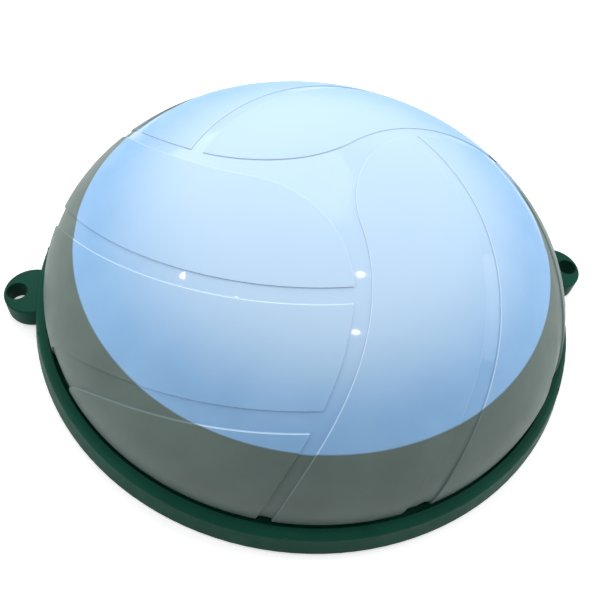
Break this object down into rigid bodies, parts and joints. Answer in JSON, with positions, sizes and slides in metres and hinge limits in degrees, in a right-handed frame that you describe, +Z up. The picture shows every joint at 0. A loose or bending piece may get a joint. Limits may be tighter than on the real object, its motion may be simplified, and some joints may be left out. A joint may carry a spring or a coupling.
{
  "type": "balance dome trainer",
  "caption": "Half-ball balance trainer: inflated dome with raised swirl panels clamped by a ring with two holed ears to a flat footed platform with an air plug.",
  "frame": {"origin": "on the floor, under the centre of the dome", "axes": "+Z up, the two ears along X, Y across the ears"},
  "size_m": [0.638, 0.5798, 0.174],
  "materials": {
    "dome_pvc": "satin PVC, pale blue cap over a grey-green lower band",
    "ring_plastic": "moulded dark green, fine grain",
    "platform_plastic": "moulded dark green, fine grain",
    "black_rubber": "matt",
    "screw_steel": "zinc plated",
    "plug_plastic": "glossy"
  },
  "bodies": {
    "trainer": {"dome_skin": "dome_pvc", "base_ring": "ring_plastic", "platform": "platform_plastic", "bead_gasket": "black_rubber", "ring_screws": "screw_steel", "valve_cup": "platform_plastic", "valve_seat": "black_rubber", "foot_1": "black_rubber", "foot_2": "black_rubber", "foot_3": "black_rubber", "foot_4": "black_rubber", "foot_5": "black_rubber", "foot_6": "black_rubber", "foot_7": "black_rubber", "foot_8": "black_rubber"},
    "plug": {"air_plug": "plug_plastic"}
  },
  "joints": [
    {"name": "air_plug_pull", "type": "slide", "parent": "trainer", "child": "plug", "axis": [0, 0, -1], "range_m": [0, 0.012]}
  ]
}
